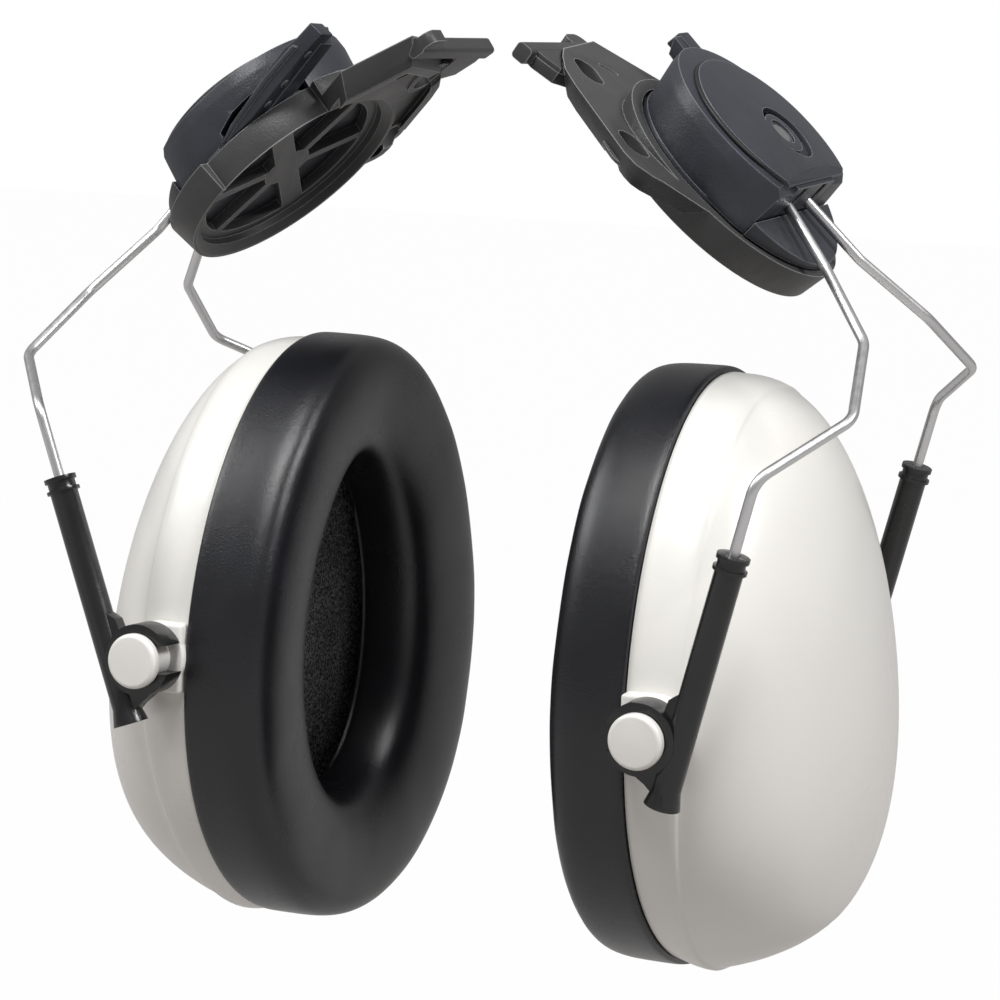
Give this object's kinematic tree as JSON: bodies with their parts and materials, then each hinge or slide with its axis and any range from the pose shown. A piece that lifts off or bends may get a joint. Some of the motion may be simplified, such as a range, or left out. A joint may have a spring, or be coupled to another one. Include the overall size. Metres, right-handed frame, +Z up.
{
  "type": "helmet-mounted ear muffs",
  "caption": "Pair of helmet-mounted ear muffs: moulded cups with soft oval cushions on sprung wire arms, each with a swivelling adapter that slots into a safety helmet.",
  "frame": {"origin": "midway between the two muffs, at the height of the wire exits", "axes": "+Z up as worn, +X from the left muff of the picture to the right one, +Y away from the viewer, across the cups"},
  "size_m": [0.1596, 0.1168, 0.1687],
  "materials": {
    "adapter_plastic": "fine satin moulding",
    "housing_plastic": "fine-grained satin moulding",
    "socket_plastic": "satin moulding",
    "cup_plastic": "satin gloss moulding",
    "hard_ring": "plain moulding",
    "wire": "bright drawn spring wire",
    "pin_steel": "plain",
    "vinyl": "soft welded vinyl skin with a satin sheen",
    "foam": "open-pore foam"
  },
  "bodies": {
    "adapters": {"right_adapter_plate": "adapter_plastic", "right_hub_rivet": "pin_steel", "left_adapter_plate": "adapter_plastic", "left_hub_rivet": "pin_steel"},
    "right_head": {"right_turntable": "housing_plastic", "right_carrier": "housing_plastic", "right_hinge_pin": "pin_steel", "right_toggle_spring": "pin_steel", "right_housing_cover": "housing_plastic", "right_cover_panel": "housing_plastic"},
    "right_arm": {"right_wire_fork": "wire", "right_fork_cam": "housing_plastic"},
    "right_sockets": {"right_front_socket": "socket_plastic", "right_back_socket": "socket_plastic"},
    "right_cup": {"right_cup_shell": "cup_plastic", "right_pivot_caps": "cup_plastic", "right_cup_liner": "foam", "right_cushion_back_plate": "hard_ring", "right_cushion_foam": "foam", "right_cushion_cover": "vinyl"},
    "left_head": {"left_turntable": "housing_plastic", "left_carrier": "housing_plastic", "left_hinge_pin": "pin_steel", "left_toggle_spring": "pin_steel", "left_housing_cover": "housing_plastic", "left_cover_panel": "housing_plastic"},
    "left_arm": {"left_wire_fork": "wire", "left_fork_cam": "housing_plastic"},
    "left_sockets": {"left_front_socket": "socket_plastic", "left_back_socket": "socket_plastic"},
    "left_cup": {"left_cup_shell": "cup_plastic", "left_pivot_caps": "cup_plastic", "left_cup_liner": "foam", "left_cushion_back_plate": "hard_ring", "left_cushion_foam": "foam", "left_cushion_cover": "vinyl"}
  },
  "joints": [
    {"name": "right_swivel", "type": "hinge", "parent": "adapters", "child": "right_head", "pos_m": [0.04151, 0.00056, -0.0006], "axis": [0.6879, -0.024, 0.7254], "range_deg": [-25, 25]},
    {"name": "right_fold", "type": "hinge", "parent": "right_head", "child": "right_arm", "pos_m": [0.0468, 0.00002, 0.01237], "axis": [0.0158, -0.9987, -0.048], "range_deg": [0, 12]},
    {"name": "right_height", "type": "slide", "parent": "right_arm", "child": "right_sockets", "axis": [-0.2583, 0.0423, -0.9651], "range_m": [-0.006, 0.02]},
    {"name": "right_tilt", "type": "hinge", "parent": "right_sockets", "child": "right_cup", "pos_m": [0.05026, 0.00481, -0.08628], "axis": [-0.0158, 0.9987, 0.048], "range_deg": [-8, 8]},
    {"name": "left_swivel", "type": "hinge", "parent": "adapters", "child": "left_head", "pos_m": [-0.04151, -0.00056, -0.0006], "axis": [-0.6879, 0.024, 0.7254], "range_deg": [-25, 25]},
    {"name": "left_fold", "type": "hinge", "parent": "left_head", "child": "left_arm", "pos_m": [-0.0468, -0.00019, 0.01237], "axis": [0.0096, 0.9997, -0.024], "range_deg": [0, 12]},
    {"name": "left_height", "type": "slide", "parent": "left_arm", "child": "left_sockets", "axis": [0.3579, -0.0259, -0.9334], "range_m": [-0.006, 0.02]},
    {"name": "left_tilt", "type": "hinge", "parent": "left_sockets", "child": "left_cup", "pos_m": [-0.04128, -0.00259, -0.08514], "axis": [-0.0096, -0.9997, 0.024], "range_deg": [-8, 8]}
  ]
}
